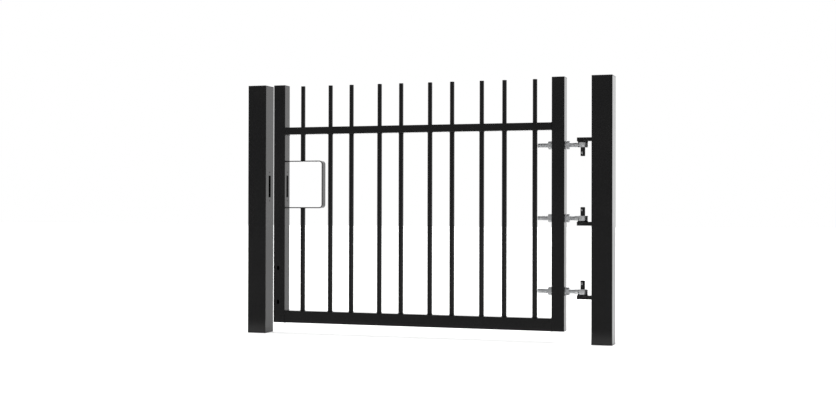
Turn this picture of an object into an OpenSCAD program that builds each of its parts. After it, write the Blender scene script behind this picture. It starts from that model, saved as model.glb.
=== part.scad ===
// Garden gate: a framed leaf of round bars on three eye-bolt hinges between two square posts.
// The origin is on the ground, midway across the two posts, in the mid-plane of the leaf.
// X runs from the latch post to the hinge post, Y from the front to the back, Z up.

/* [Posts] */
// Width and depth of each square post
post_w = 80; // [60:5:120]
// Height of each post above the ground, cap included
post_h = 1025; // [820:5:1800]
// Wall thickness of the post tube
post_wall = 3; // [2:0.5:6]
// Outside corner radius of the post tube
post_r = 3; // [2:0.5:12]

/* [Leaf frame] */
// Overall width of the gate leaf
leaf_w = 1220; // [1000:10:1500]
// Gap between the latch post and the leaf
latch_gap = 30; // [10:1:60]
// Gap between the ground and the leaf
ground_gap = 45; // [20:5:120]
// Width and depth of the square tube of the stiles and the bottom rail
frame_w = 50; // [40:5:60]
// Wall thickness of the frame tubes
frame_wall = 2.5; // [2:0.5:4]
// Outside corner radius of the frame tubes
frame_r = 2.5; // [2:0.5:8]
// Height of the flat top rail
rail_h = 30; // [20:2:50]
// Distance from the top of the leaf down to the top rail
rail_drop = 175; // [100:5:300]

/* [End caps] */
// Thickness of the plate that closes a tube
cap_t = 3; // [2:0.5:5]
// Depth of the skirt that plugs into the tube
skirt_h = 14; // [8:1:25]
// Wall thickness of the skirt
skirt_t = 2; // [1.5:0.5:3]
// Clearance between the skirt and the tube wall
skirt_gap = 0.2; // [0.1:0.1:0.5]

/* [Bars] */
// Diameter of the long bars below the top rail
bar_d = 20; // [12:1:25]
// Diameter of the short rods above the top rail
rod_d = 18; // [10:1:25]
// Centre distance of the two bars on each side of a wide bay
bay_wide = 122; // [100:1:130]
// Distance from a stile to the first bar's centre
bay_end = 71; // [50:1:90]
// Distance from the top of the rods down from the top of the leaf
rod_drop = 5; // [0:1:60]

/* [Lock frame] */
// Outside height of the bent strip around the lock space
window_h = 195; // [150:5:240]
// Depth of the strip, front to back
window_y = 32; // [25:1:45]
// Thickness of the strip
window_t = 4; // [3:0.5:6]
// Outside radius of the strip's bends
window_r = 15; // [8:1:30]
// Free gap between the strip and the next long bar
window_side = 15; // [8:1:30]
// Distance from the underside of the top rail down to the strip
window_drop = 108; // [60:2:160]
// Distance from the top of the strip down to the middle of the lock slot
lock_drop = 105; // [90:1:110]

/* [Lock and drop bolt holes] */
// Height of the lock slots in the latch stile and the latch post
slot_h = 90; // [60:2:110]
// Width of the slot through the latch stile
slot_w = 16; // [12:1:24]
// Width of the keep slot in the latch post
keep_w = 20; // [14:1:30]
// Centre distance of the two screw holes above and below a slot
screw_pitch = 118; // [100:1:140]
// Diameter of those screw holes
screw_d = 6; // [4:0.5:8]
// Width of each upright drop bolt hole
bolt_hole_w = 11; // [8:1:14]
// Length of each upright drop bolt hole
bolt_hole_h = 18; // [14:1:26]
// Centre distance of the two drop bolt holes
bolt_hole_pitch = 140; // [80:5:200]
// Height of the lower drop bolt hole above the bottom of the leaf
bolt_hole_low = 85; // [70:5:120]
// Distance of the drop bolt holes from the latch edge of the stile
bolt_hole_side = 21; // [15:1:30]

/* [Hinges] */
// Distance from the leaf to the hinge axis
pin_to_leaf = 67; // [55:1:90]
// Distance from the hinge axis to the hinge post
pin_to_post = 40; // [30:1:60]
// Height of the lowest hinge above the ground
hinge_low = 199; // [150:1:320]
// Distance from the top of the leaf down to the highest hinge
hinge_drop = 263; // [220:2:400]
// Outside diameter of the eye and the plastic washer
eye_d = 40; // [34:1:50]
// How far the eye reaches above and below the bolt
eye_over = 1; // [1:0.5:5]
// Diameter of the hinge pin
pin_d = 18; // [12:1:22]
// Radial running clearance of the eye on its pin
pin_fit = 0.08; // [0.02:0.01:0.1]
// Length of pin that stands out past the eye
pin_free = 33; // [20:1:45]
// Width of the lug on the post, which also sets how far it reaches past the pin
lug_w = 40; // [34:1:50]
// Thickness of the lug
lug_t = 15; // [10:1:22]
// Radius of the lug's free corners
lug_r = 3; // [1:0.5:10]
// Thickness of the plastic washer
bush_t = 3; // [1:0.5:5]
// Thread diameter of the eye bolt
bolt_d = 18; // [12:2:20]
// Gap between the end of the eye bolt and the last long bar
bolt_end_gap = 2; // [1:1:20]
// Outside diameter of the steel washers
washer_d = 34; // [28:1:42]
// Thickness of the steel washers
washer_t = 3; // [2:0.5:4]

/* [Split pins] */
// Diameter of the split pin hole through the hinge pin
split_hole_d = 5; // [3:0.5:6]
// Diameter of the split pin's closed legs
split_d = 4.6; // [2.5:0.1:5.5]
// Outside diameter of the split pin's eye
split_eye_d = 9.5; // [8:0.5:12]
// Distance from the hinge pin's free end to the split pin
split_in = 12; // [8:1:18]

/* [Hidden] */
$fn = 96;
eps = 0.01;
cut = 1;
seat = 0.05;
bearing_gap = 0.1;
hex_sides = 6;
bar_pairs = 5;
inner_corner_r = 0.5;
nut_af_ratio = 1.5;
nut_h_ratio = 0.8;
nut_af = bolt_d * nut_af_ratio;
nut_h = bolt_d * nut_h_ratio;
eye_h = bolt_d + 2 * eye_over;
hole_gap = 0.5;
end_chamfer = 1.5;
ring_chamfer = 0.75;
nut_chamfer = 1;
split_tail = 9;
split_spread = 22;

// Overall layout across X
opening_w = latch_gap + leaf_w + pin_to_leaf + pin_to_post;
total_w = opening_w + 2 * post_w;
latch_post_x = -total_w / 2 + post_w / 2;
hinge_post_x = total_w / 2 - post_w / 2;
latch_face_x = -opening_w / 2;
leaf_x0 = latch_face_x + latch_gap;
leaf_x1 = leaf_x0 + leaf_w;
latch_stile_x = leaf_x0 + frame_w / 2;
hinge_stile_x = leaf_x1 - frame_w / 2;
inner_x0 = leaf_x0 + frame_w;
inner_x1 = leaf_x1 - frame_w;
inner_w = inner_x1 - inner_x0;
pin_x = leaf_x1 + pin_to_leaf;
front_y = -frame_w / 2;

// Heights
leaf_top = post_h;
stile_h = leaf_top - cap_t - ground_gap;
rail_top = leaf_top - rail_drop;
rail_bottom = rail_top - rail_h;
sill_top = ground_gap + frame_w;
rod_top = leaf_top - rod_drop;
window_top = rail_bottom - window_drop;
window_bottom = window_top - window_h;
lock_z = window_top - lock_drop;
hinge_high = leaf_top - hinge_drop;
hinge_mid = (hinge_low + hinge_high) / 2;
hinge_zs = [hinge_low, hinge_mid, hinge_high];

// Bars from the latch side to the hinge side
bay_narrow = (inner_w - 2 * bay_end - bar_pairs * bay_wide) / (bar_pairs - 1);
window_w = bay_end + bay_wide - bar_d / 2 - window_side;
bolt_len = pin_to_leaf + frame_w + bay_end - bar_d / 2 - bolt_end_gap;
function bar_x(i) = inner_x0 + bay_end + ceil(i / 2) * bay_wide + floor(i / 2) * bay_narrow;

// Rectangle with rounded corners, centred
module round_rect(w, d, r) {
    square([w - 2 * r, d], center = true);
    square([w, d - 2 * r], center = true);
    for (sx = [-1, 1])
        for (sy = [-1, 1])
            translate([sx * (w / 2 - r), sy * (d / 2 - r)])
                circle(r = r);
}

// Inside corner radius of a tube, which stays round when the outside corner is as tight as the wall
function inside_r(r, wall) = max(r - wall, inner_corner_r);

// Section of a square or flat tube
module tube_section(w, d, wall, r) {
    difference() {
        round_rect(w, d, r);
        round_rect(w - 2 * wall, d - 2 * wall, inside_r(r, wall));
    }
}

// Section of a plug skirt that fits inside a tube
module skirt_section(w, d, wall, r) {
    inset = wall + skirt_gap;
    difference() {
        round_rect(w - 2 * inset, d - 2 * inset, inside_r(r, wall));
        square([w - 2 * inset - 2 * skirt_t, d - 2 * inset - 2 * skirt_t], center = true);
    }
}

// Round-ended slot along X through a wall, standing on its Z axis
module slot_x(w, h, depth) {
    rotate([0, 90, 0])
        linear_extrude(depth, center = true)
            union() {
                square([h - w, w], center = true);
                for (s = [-1, 1])
                    translate([s * (h - w) / 2, 0])
                        circle(d = w);
            }
}

// Square slot along X through a wall
module square_slot_x(w, h, depth) {
    cube([depth, w, h], center = true);
}

module screw_pair_x(depth) {
    for (s = [-1, 1])
        translate([0, 0, s * screw_pitch / 2])
            rotate([0, 90, 0])
                cylinder(d = screw_d, h = depth, center = true);
}

module post_tube(x) {
    translate([x, 0, 0])
        linear_extrude(post_h - cap_t)
            tube_section(post_w, post_w, post_wall, post_r);
}

// Cap with its plate on the tube end and its skirt inside the tube
module tube_cap(x, w, wall, r) {
    translate([x, 0, leaf_top - cap_t]) {
        linear_extrude(cap_t)
            round_rect(w, w, r);
        translate([0, 0, -skirt_h])
            linear_extrude(skirt_h + eps)
                skirt_section(w, w, wall, r);
    }
}

module stile_tube(x) {
    translate([x, 0, ground_gap])
        linear_extrude(stile_h)
            tube_section(frame_w, frame_w, frame_wall, frame_r);
}

module latch_post() {
    color("#1c1c1d")
        difference() {
            post_tube(latch_post_x);
            translate([latch_face_x - post_wall / 2, 0, lock_z]) {
                square_slot_x(keep_w, slot_h, post_wall + 2 * cut);
                screw_pair_x(post_wall + 2 * cut);
            }
        }
}

module hinge_post() {
    color("#1c1c1d")
        post_tube(hinge_post_x);
}

module latch_post_cap() {
    color("#222223")
        tube_cap(latch_post_x, post_w, post_wall, post_r);
}

module hinge_post_cap() {
    color("#222223")
        tube_cap(hinge_post_x, post_w, post_wall, post_r);
}

module latch_stile() {
    color("#1c1c1d")
        difference() {
            stile_tube(latch_stile_x);
            translate([latch_stile_x, 0, lock_z])
                square_slot_x(slot_w, slot_h, frame_w + 2 * cut);
            translate([inner_x0 - frame_wall / 2, 0, lock_z])
                screw_pair_x(frame_wall + 2 * cut);
            for (i = [0, 1])
                translate([
                    leaf_x0 + bolt_hole_side,
                    front_y + frame_wall / 2,
                    ground_gap + bolt_hole_low + i * bolt_hole_pitch
                ])
                    rotate([0, 0, 90])
                        slot_x(bolt_hole_w, bolt_hole_h, frame_wall + 2 * cut);
        }
}

module hinge_stile() {
    color("#1c1c1d")
        difference() {
            stile_tube(hinge_stile_x);
            for (z = hinge_zs)
                translate([hinge_stile_x, 0, z])
                    rotate([0, 90, 0])
                        cylinder(d = bolt_d + 2 * hole_gap, h = frame_w + 2 * cut, center = true);
        }
}

module latch_stile_cap() {
    color("#222223")
        tube_cap(latch_stile_x, frame_w, frame_wall, frame_r);
}

module hinge_stile_cap() {
    color("#222223")
        tube_cap(hinge_stile_x, frame_w, frame_wall, frame_r);
}

// Tube that lies along X between the two stiles
module rail_tube(z, h) {
    translate([inner_x0, 0, z + h / 2])
        rotate([90, 0, 90])
            linear_extrude(inner_w)
                tube_section(frame_w, h, frame_wall, frame_r);
}

module bottom_rail() {
    color("#1c1c1d")
        rail_tube(ground_gap, frame_w);
}

module top_rail() {
    color("#1c1c1d")
        rail_tube(rail_bottom, rail_h);
}

// Side view of the lock frame's outline, open towards the stile
module window_side_view(w, h, r) {
    square([w - r, h]);
    translate([0, r])
        square([w, h - 2 * r]);
    for (z = [r, h - r])
        translate([w - r, z])
            circle(r = r);
}

module lock_frame() {
    color("#1c1c1d")
        translate([inner_x0, front_y + window_y, window_bottom])
            rotate([90, 0, 0])
                linear_extrude(window_y)
                    difference() {
                        window_side_view(window_w, window_h, window_r);
                        translate([-cut, window_t])
                            window_side_view(
                                window_w - window_t + cut,
                                window_h - 2 * window_t,
                                window_r - window_t
                            );
                    }
}

module upright(i, d, z0, z1) {
    color("#1c1c1d")
        translate([bar_x(i), 0, z0])
            cylinder(d = d, h = z1 - z0);
}

module bar(i) {
    upright(i, bar_d, sill_top, rail_bottom);
}

module bar_01_lower() {
    upright(0, bar_d, sill_top, window_bottom);
}

module bar_01_upper() {
    upright(0, bar_d, window_top, rail_bottom);
}

module rod(i) {
    upright(i, rod_d, rail_top, rod_top);
}

// Puts a hinge piece at its height; the highest hinge is upside down
module at_hinge(k) {
    translate([pin_x, 0, hinge_zs[k]])
        mirror([0, 0, k == 2 ? 1 : 0])
            children();
}

bush_z = -eye_h / 2 - bearing_gap - bush_t;
lug_z = bush_z - lug_t;
pin_end_z = eye_h / 2 + pin_free;
split_z = pin_end_z - split_in;

// Plan of a lug around its pin, from its two rounded corners to the post's face
module lug_plan() {
    translate([lug_r - lug_w / 2, -lug_w / 2])
        square([pin_to_post + lug_w / 2 - lug_r, lug_w]);
    translate([-lug_w / 2, lug_r - lug_w / 2])
        square([lug_w / 2, lug_w - 2 * lug_r]);
    for (s = [-1, 1])
        translate([lug_r - lug_w / 2, s * (lug_w / 2 - lug_r)])
            circle(r = lug_r);
}

module hinge_lug(k) {
    color("#1c1c1d")
        at_hinge(k)
            translate([0, 0, lug_z])
                linear_extrude(lug_t)
                    difference() {
                        lug_plan();
                        circle(d = pin_d + 2 * seat);
                    }
}

module hinge_pin(k) {
    color("#232324")
        at_hinge(k)
            difference() {
                union() {
                    translate([0, 0, lug_z])
                        cylinder(d = pin_d, h = pin_end_z - end_chamfer - lug_z);
                    translate([0, 0, pin_end_z - end_chamfer])
                        cylinder(d1 = pin_d, d2 = pin_d - 2 * end_chamfer, h = end_chamfer);
                }
                translate([0, 0, split_z])
                    rotate([90, 0, 0])
                        cylinder(d = split_hole_d, h = pin_d + 2 * cut, center = true);
            }
}

module hinge_bush(k) {
    color("#141415")
        at_hinge(k)
            translate([0, 0, bush_z])
                linear_extrude(bush_t)
                    difference() {
                        circle(d = eye_d);
                        circle(d = pin_d + 2 * seat);
                    }
}

module eye_bolt(k) {
    color("#a9adb0")
        at_hinge(k)
            difference() {
                union() {
                    cylinder(d = eye_d, h = eye_h - 2 * ring_chamfer, center = true);
                    for (s = [-1, 1])
                        translate([0, 0, s * (eye_h - ring_chamfer) / 2])
                            cylinder(
                                d1 = s > 0 ? eye_d : eye_d - 2 * ring_chamfer,
                                d2 = s > 0 ? eye_d - 2 * ring_chamfer : eye_d,
                                h = ring_chamfer,
                                center = true
                            );
                    rotate([0, -90, 0])
                        cylinder(d = bolt_d, h = bolt_len - end_chamfer);
                    translate([-bolt_len + end_chamfer, 0, 0])
                        rotate([0, -90, 0])
                            cylinder(d1 = bolt_d, d2 = bolt_d - 2 * end_chamfer, h = end_chamfer);
                }
                cylinder(d = pin_d + 2 * pin_fit, h = eye_h + 2 * cut, center = true);
            }
}

// Hexagon nut along X with chamfered corners, its near face at x
module hex_nut(x, z) {
    corner_d = nut_af / cos(180 / hex_sides);
    translate([x + nut_h / 2, 0, z])
        rotate([0, 90, 0])
            difference() {
                intersection() {
                    rotate([0, 0, 180])
                        cylinder(d = corner_d, h = nut_h, center = true, $fn = hex_sides);
                    union() {
                        cylinder(d = corner_d + cut, h = nut_h - 2 * nut_chamfer, center = true);
                        translate([0, 0, nut_h / 2 - nut_chamfer])
                            cylinder(d1 = corner_d + cut, d2 = nut_af, h = nut_chamfer);
                        translate([0, 0, -nut_h / 2])
                            cylinder(d1 = nut_af, d2 = corner_d + cut, h = nut_chamfer);
                    }
                }
                cylinder(d = bolt_d + 2 * seat, h = nut_h + 2 * cut, center = true);
            }
}

module inner_nuts() {
    color("#a9adb0")
        for (z = hinge_zs)
            hex_nut(inner_x1 - washer_t - nut_h, z);
}

module outer_nuts() {
    color("#a9adb0")
        for (z = hinge_zs)
            hex_nut(leaf_x1 + washer_t, z);
}

module bolt_washers() {
    color("#a9adb0")
        for (z = hinge_zs)
            for (x = [inner_x1 - washer_t, leaf_x1])
                translate([x, 0, z])
                    rotate([0, 90, 0])
                        difference() {
                            cylinder(d = washer_d, h = washer_t);
                            translate([0, 0, -cut])
                                cylinder(d = bolt_d + hole_gap, h = washer_t + 2 * cut);
                        }
}

// One half of the split pin's double leg, its flat side on the X axis
module half_leg(h) {
    intersection() {
        cylinder(d = split_d, h = h);
        translate([-split_d, 0, -cut])
            cube([2 * split_d, split_d, h + 2 * cut]);
    }
}

// Split pin along Y: eye in front of the hinge pin, legs through it, tails spread behind
module split_pin(k) {
    eye_y = -pin_d / 2 - seat - split_eye_d / 2;
    leg_start = eye_y + split_eye_d / 2 - split_d / 2;
    leg_end = pin_d / 2 + hole_gap;
    at_hinge(k)
        translate([0, 0, split_z]) {
            translate([0, eye_y, 0])
                rotate([0, 90, 0])
                    difference() {
                        rotate_extrude()
                            translate([(split_eye_d - split_d) / 2, 0])
                                circle(d = split_d);
                        cylinder(d = split_eye_d - split_d, h = 2 * split_d, center = true);
                    }
            translate([0, leg_start, 0])
                rotate([-90, 0, 0])
                    cylinder(d = split_d, h = leg_end - leg_start);
            for (s = [0, 180])
                translate([0, leg_end, 0])
                    rotate([0, s, 0])
                        rotate([split_spread - 90, 0, 0])
                            rotate([0, 0, 180])
                                half_leg(split_tail);
        }
}

module split_pins() {
    color("#b5b8ba")
        for (k = [0, 1, 2])
            split_pin(k);
}

latch_post();
hinge_post();
latch_post_cap();
hinge_post_cap();
latch_stile();
hinge_stile();
latch_stile_cap();
hinge_stile_cap();
bottom_rail();
top_rail();
lock_frame();
bar_01_lower();
bar_01_upper();
bar(1);  // bar_02
bar(2);  // bar_03
bar(3);  // bar_04
bar(4);  // bar_05
bar(5);  // bar_06
bar(6);  // bar_07
bar(7);  // bar_08
bar(8);  // bar_09
bar(9);  // bar_10
rod(0);  // rod_01
rod(1);  // rod_02
rod(2);  // rod_03
rod(3);  // rod_04
rod(4);  // rod_05
rod(5);  // rod_06
rod(6);  // rod_07
rod(7);  // rod_08
rod(8);  // rod_09
rod(9);  // rod_10
hinge_lug(0);  // hinge_lug_low
hinge_lug(1);  // hinge_lug_mid
hinge_lug(2);  // hinge_lug_high
hinge_pin(0);  // hinge_pin_low
hinge_pin(1);  // hinge_pin_mid
hinge_pin(2);  // hinge_pin_high
hinge_bush(0);  // hinge_bush_low
hinge_bush(1);  // hinge_bush_mid
hinge_bush(2);  // hinge_bush_high
eye_bolt(0);  // eye_bolt_low
eye_bolt(1);  // eye_bolt_mid
eye_bolt(2);  // eye_bolt_high
inner_nuts();
outer_nuts();
bolt_washers();
split_pins();
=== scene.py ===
"""Looks of a garden gate: a leaf of welded round bars, hung on eye bolts between two posts."""

import logging
import math
from dataclasses import dataclass, field
from enum import Enum
from typing import Callable, Sequence, Union

import bmesh
import bpy
from mathutils import Matrix, Vector


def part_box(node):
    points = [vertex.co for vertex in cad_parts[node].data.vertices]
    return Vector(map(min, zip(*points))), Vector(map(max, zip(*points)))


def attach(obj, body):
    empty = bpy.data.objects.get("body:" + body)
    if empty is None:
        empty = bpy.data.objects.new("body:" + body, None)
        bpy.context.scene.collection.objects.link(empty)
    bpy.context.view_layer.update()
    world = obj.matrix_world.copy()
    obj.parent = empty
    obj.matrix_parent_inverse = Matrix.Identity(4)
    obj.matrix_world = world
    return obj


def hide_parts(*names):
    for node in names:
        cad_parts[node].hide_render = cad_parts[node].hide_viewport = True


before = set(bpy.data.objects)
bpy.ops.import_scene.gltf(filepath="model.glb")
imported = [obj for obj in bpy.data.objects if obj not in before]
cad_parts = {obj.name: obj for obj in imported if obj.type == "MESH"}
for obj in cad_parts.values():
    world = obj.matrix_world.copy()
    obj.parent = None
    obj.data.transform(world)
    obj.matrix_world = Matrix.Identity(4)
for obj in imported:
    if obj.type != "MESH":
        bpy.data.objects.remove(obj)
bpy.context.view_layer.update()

MM = 0.001
SHARP = math.radians(38.0)
SMALL_SIDES = 24
log = logging.getLogger("garden_gate")

Point = tuple[float, float]
Band = tuple[float, float]
Place = tuple[float, float, float]
Colour = tuple[float, float, float]
Input = Union[float, tuple, bpy.types.NodeSocket]


class Body(Enum):
    """The two rigid bodies of the gate."""

    POSTS = "posts"
    LEAF = "leaf"


class Slot(Enum):
    """The finishes that the record names."""

    POST = "post_paint"
    LEAF = "leaf_paint"
    BAR = "bar_paint"
    CAP = "cap_plastic"
    PIN = "pin_black"
    BUSH = "nylon_black"
    EYE = "zinc_eye"
    NUT = "zinc_nut"
    WASHER = "zinc_washer"
    SPLIT = "zinc_split"


class Wiring:
    """Adds and joins the nodes of one node tree."""

    def __init__(self, tree: bpy.types.NodeTree) -> None:
        """Takes the tree that the nodes go into.

        Args:
            tree: A shader or geometry node tree.
        """
        self.tree = tree

    def add(self, kind: str, inputs: dict | None = None, **settings: object) -> bpy.types.Node:
        """Adds a node, sets its properties and feeds its inputs.

        Args:
            kind: The node's type name.
            inputs: Socket name or number to a value or an output socket.
            settings: Properties of the node.

        Returns:
            The new node.
        """
        node = self.tree.nodes.new(kind)
        for name, value in settings.items():
            setattr(node, name, value)
        for name, value in (inputs or {}).items():
            self.feed(node.inputs[name], value)
        return node

    def feed(self, socket: bpy.types.NodeSocket, value: Input) -> None:
        """Gives an input socket a value or a link.

        Args:
            socket: The input to feed.
            value: A number, a tuple or an output socket.
        """
        if isinstance(value, bpy.types.NodeSocket):
            self.tree.links.new(value, socket)
        else:
            socket.default_value = value

    def math(self, operation: str, *values: Input, clamp: bool = False) -> bpy.types.NodeSocket:
        """Adds a shader or geometry Math node.

        Args:
            operation: The node's operation.
            values: Its inputs in order.
            clamp: True keeps the result between 0 and 1.

        Returns:
            The node's output.
        """
        node = self.add("ShaderNodeMath", operation=operation, use_clamp=clamp)
        for socket, value in zip(node.inputs, values):
            self.feed(socket, value)
        return node.outputs[0]

    def noise(self, place: Input, scale: Input, detail: float = 3.0,
              roughness: float = 0.55) -> bpy.types.NodeSocket:
        """Adds a noise texture and returns its grey value."""
        inputs = {"Vector": place, "Scale": scale, "Detail": detail, "Roughness": roughness}
        return self.add("ShaderNodeTexNoise", inputs).outputs["Fac"]

    def span(self, value: Input, low: float, high: float, a: float = 0.0, b: float = 1.0,
             curve: str = "LINEAR") -> bpy.types.NodeSocket:
        """Maps low..high onto a..b and clamps it; curve names the interpolation."""
        inputs = {"Value": value, "From Min": low, "From Max": high, "To Min": a, "To Max": b}
        return self.add("ShaderNodeMapRange", inputs, interpolation_type=curve).outputs[0]

    def parts(self, vector: Input) -> bpy.types.NodeOutputs:
        """Splits a vector and returns its X, Y and Z."""
        return self.add("ShaderNodeSeparateXYZ", {0: vector}).outputs

    def blend(self, share: Input, first: Input, second: Input) -> bpy.types.NodeSocket:
        """Mixes two numbers and returns the mixed one."""
        inputs = {0: share, 2: first, 3: second}
        return self.add("ShaderNodeMix", inputs, data_type="FLOAT").outputs[0]

    def mix(self, share: Input, first: Input, second: Input) -> bpy.types.NodeSocket:
        """Mixes two colours and returns the mixed one."""
        inputs = {0: share, 6: first, 7: second}
        return self.add("ShaderNodeMix", inputs, data_type="RGBA").outputs[2]


class Paint(Wiring):
    """The wiring of a new material around its shader."""

    def __init__(self, name: str) -> None:
        """Makes the material.

        Args:
            name: Name of the material.
        """
        self.material = bpy.data.materials.new(name)
        self.material.use_nodes = True
        super().__init__(self.material.node_tree)
        self.sockets = self.tree.nodes["Principled BSDF"].inputs
        self.place = self.add("ShaderNodeTexCoord").outputs["Object"]

    def give(self, label: str, value: Input) -> None:
        """Gives one of the shader's inputs a value or a link."""
        self.feed(self.sockets[label], value)

    def bump(self, strength: float, distance: float, height: Input) -> None:
        """Feeds a height to the shader's normal."""
        inputs = {"Strength": strength, "Distance": distance, "Height": height}
        self.give("Normal", self.add("ShaderNodeBump", inputs).outputs[0])


def solid(colour: Colour) -> tuple[float, float, float, float]:
    """The colour with full alpha, as a colour socket takes it."""
    return (*colour, 1.0)


class Group:
    """A shader node group with named inputs and outputs."""

    def __init__(self, name: str, inputs: dict[str, Input], outputs: Sequence[str]) -> None:
        """Makes the group's sockets.

        Args:
            name: Name of the group.
            inputs: Input names and their default values; a tuple makes a vector.
            outputs: Names of the grey outputs.
        """
        self.tree = bpy.data.node_groups.new(name, "ShaderNodeTree")
        for label, value in inputs.items():
            kind = "NodeSocketVector" if isinstance(value, tuple) else "NodeSocketFloat"
            socket = self.tree.interface.new_socket(label, in_out="INPUT", socket_type=kind)
            socket.default_value = value
        for label in outputs:
            self.tree.interface.new_socket(label, in_out="OUTPUT", socket_type="NodeSocketFloat")
        self.wires = Wiring(self.tree)
        self.source = self.wires.add("NodeGroupInput").outputs

    def end(self, **values: bpy.types.NodeSocket) -> None:
        """Joins the finished values to the group's outputs."""
        self.wires.add("NodeGroupOutput", values)

    def use(self, wires: Wiring, **values: Input) -> bpy.types.Node:
        """Places the group in a material.

        Args:
            wires: The material's wiring.
            values: Inputs of the group, with underscores for spaces.

        Returns:
            The group node.
        """
        node = wires.add("ShaderNodeGroup", node_tree=self.tree)
        for name, value in values.items():
            wires.feed(node.inputs[name.replace("_", " ")], value)
        return node


@dataclass
class SurfaceGroups:
    """The effects that several finishes share, each built once; scales are per metre."""

    nib_band: Band = (0.66, 0.8)
    nib_height: float = 0.35
    sheen_scale: float = 9.0
    speck_scale: float = 420.0
    speck_band: Band = (0.46, 0.7)
    splash_fade: float = 1.6
    film_scale: float = 7.0
    film_band: Band = (0.38, 0.75)
    film_share: float = 0.25
    worn_scale: float = 60.0
    worn_band: Band = (0.5, 0.72)
    grain_band: Band = (0.1, 0.75)
    bloom_scale: float = 90.0
    bloom_band: Band = (0.42, 0.7)
    drawn_scale: float = 1500.0

    def __post_init__(self) -> None:
        """Builds every group."""
        self.peel = self._peel()
        self.weather = self._weather()
        self.spangle = self._spangle()

    def _peel(self) -> Group:
        """The soft dimples and small nibs of a baked powder coat.

        Returns:
            The group.
        """
        inputs = {"Place": (0.0, 0.0, 0.0), "Dimples": 420.0, "Nibs": 900.0}
        made = Group("coat_peel", inputs, ["Height", "Sheen"])
        wires, source = made.wires, made.source
        dimples = wires.noise(source["Place"], source["Dimples"], 2.0)
        nibs = wires.noise(source["Place"], source["Nibs"], 1.0)
        raised = wires.math("MULTIPLY", wires.span(nibs, *self.nib_band), self.nib_height)
        sheen = wires.noise(source["Place"], self.sheen_scale, 4.0)
        made.end(Height=wires.math("ADD", dimples, raised), Sheen=sheen)
        return made

    def _weather(self) -> Group:
        """Dust thrown up from the ground, and paint rubbed thin along edges.

        Returns:
            The group.
        """
        inputs = {"Place": (0.0, 0.0, 0.0), "Edge": 0.0, "Splash height": 0.16}
        made = Group("garden_weather", inputs, ["Dust", "Rub"])
        wires, source = made.wires, made.source
        place = source["Place"]
        low = wires.math("DIVIDE", wires.parts(place)["Z"], source["Splash height"])
        fade = wires.math("SUBTRACT", 1.0, low, clamp=True)
        specks = wires.span(wires.noise(place, self.speck_scale, 4.0), *self.speck_band)
        film_and_shade = wires.span(wires.noise(place, self.film_scale, 5.0), *self.film_band)
        splashed = wires.math("MULTIPLY", wires.math("POWER", fade, self.splash_fade), specks)
        dust = wires.math("MAXIMUM", splashed, wires.math("MULTIPLY", film_and_shade, self.film_share))
        worn = wires.span(wires.noise(place, self.worn_scale, 4.0), *self.worn_band)
        made.end(Dust=dust, Rub=wires.math("MULTIPLY", source["Edge"], worn))
        return made

    def _spangle(self) -> Group:
        """The mottled grain of zinc plate, with fine drawn lines.

        Returns:
            The group.
        """
        inputs = {"Place": (0.0, 0.0, 0.0), "Grain": 700.0}
        made = Group("zinc_grain", inputs, ["Grain", "Bloom", "Height"])
        wires, source = made.wires, made.source
        inputs = {"Vector": source["Place"], "Scale": source["Grain"]}
        cells = wires.add("ShaderNodeTexVoronoi", inputs, feature="SMOOTH_F1")
        grain = wires.span(cells.outputs["Distance"], *self.grain_band)
        bloom = wires.span(wires.noise(source["Place"], self.bloom_scale, 5.0), *self.bloom_band)
        drawn = wires.noise(source["Place"], self.drawn_scale)
        made.end(Grain=grain, Bloom=bloom, Height=drawn)
        return made


GROUPS = SurfaceGroups()


@dataclass(frozen=True)
class Coating:
    """Gloss black powder coat or dull black plastic."""

    name: str
    colour: Colour = (0.0038, 0.0038, 0.004)
    dust: Colour = (0.12, 0.11, 0.1)
    bared: Colour = (0.09, 0.09, 0.092)
    dimples: float = 420.0
    peel: float = 0.15
    relief: float = 0.3 * MM
    gloss: Band = (0.07, 0.12)
    sheen_band: Band = (0.3, 0.7)
    dust_rough: float = 0.12
    ior: float = 1.4
    dusty: float = 0.07
    rub: float = 0.35

    def build(self) -> bpy.types.Material:
        """Builds the material.

        Returns:
            The coat's material.
        """
        paint = Paint(self.name)
        edge = paint.add("ShaderNodeAttribute", attribute_name="edge").outputs["Fac"]
        peel = GROUPS.peel.use(paint, Place=paint.place, Dimples=self.dimples).outputs
        weather = GROUPS.weather.use(paint, Place=paint.place, Edge=edge).outputs
        dusted = paint.math("MULTIPLY", weather["Dust"], self.dusty)
        rubbed = paint.math("MULTIPLY", weather["Rub"], self.rub)
        coat = paint.mix(dusted, solid(self.colour), solid(self.dust))
        paint.give("Base Color", paint.mix(rubbed, coat, solid(self.bared)))
        sheen = paint.span(peel["Sheen"], *self.sheen_band, *self.gloss)
        dull = paint.math("MULTIPLY", weather["Dust"], self.dust_rough)
        paint.give("Roughness", paint.math("ADD", sheen, dull))
        paint.bump(self.peel, self.relief, peel["Height"])
        paint.give("IOR", self.ior)
        return paint.material


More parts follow.
